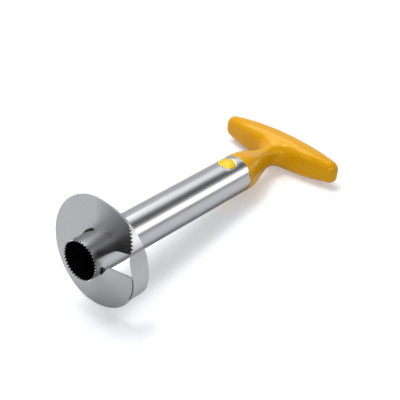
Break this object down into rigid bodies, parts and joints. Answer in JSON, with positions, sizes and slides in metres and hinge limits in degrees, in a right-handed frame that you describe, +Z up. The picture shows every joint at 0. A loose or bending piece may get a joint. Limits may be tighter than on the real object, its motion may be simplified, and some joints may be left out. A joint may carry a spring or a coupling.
{
  "type": "pineapple corer",
  "caption": "Pineapple corer and slicer: toothed steel tube, helical slicing blade with a toothed rim wall, and a T-shaped handle held by sprung buttons.",
  "frame": {"origin": "centre of the bounding box's footprint, on the surface that the tool lies on", "axes": "+X from the toothed tip towards the handle, +Z up; the tube's axis dips slightly towards the handle"},
  "size_m": [0.2453, 0.1128, 0.0838],
  "materials": {
    "steel": "fine satin stainless steel",
    "handle_plastic": "smooth satin yellow-orange moulded plastic",
    "button_plastic": "smooth lemon-yellow moulded plastic",
    "spring_steel": "drawn spring wire"
  },
  "bodies": {
    "tool": {"corer_tube": "steel", "slicing_blade": "steel", "handle": "handle_plastic", "button_spring": "spring_steel"},
    "upper_button": {"upper_button": "button_plastic"},
    "lower_button": {"lower_button": "button_plastic"}
  },
  "joints": [
    {"name": "upper_button_press", "type": "slide", "parent": "tool", "child": "upper_button", "axis": [-0.1311, 0, -0.9914], "range_m": [0, 0.003], "stiffness_N_per_m": 600, "deforming": ["button_spring"]},
    {"name": "lower_button_press", "type": "slide", "parent": "tool", "child": "lower_button", "axis": [0.1311, 0, 0.9914], "range_m": [0, 0.003], "stiffness_N_per_m": 600, "deforming": ["button_spring"]}
  ]
}
